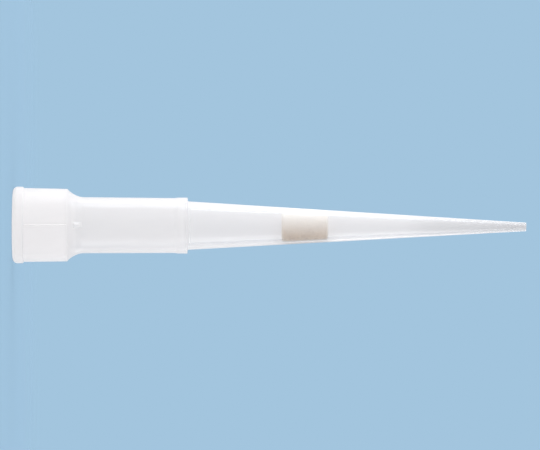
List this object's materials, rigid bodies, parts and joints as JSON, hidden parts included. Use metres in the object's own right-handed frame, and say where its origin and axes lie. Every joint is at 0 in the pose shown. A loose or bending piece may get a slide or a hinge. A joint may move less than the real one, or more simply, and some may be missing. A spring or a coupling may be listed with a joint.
{
  "type": "pipette tip",
  "caption": "Slender hollow tapered tip: wide open collar, stepped sleeve, long cone ending in a fine orifice, and a porous filter plug wedged in the bore.",
  "frame": {"origin": "centre of the flat rim round the mouth, on the tip's axis", "axes": "+Z along the tip's axis, from the mouth towards the point; X and Y are alike"},
  "size_m": [0.0076, 0.0076, 0.051],
  "materials": {
    "shell": "milky translucent polypropylene, satin outside and polished in the bore",
    "filter": "matt sintered polyethylene beads"
  },
  "bodies": {
    "root": {"tip_body": "shell", "filter_plug": "filter"}
  },
  "joints": []
}
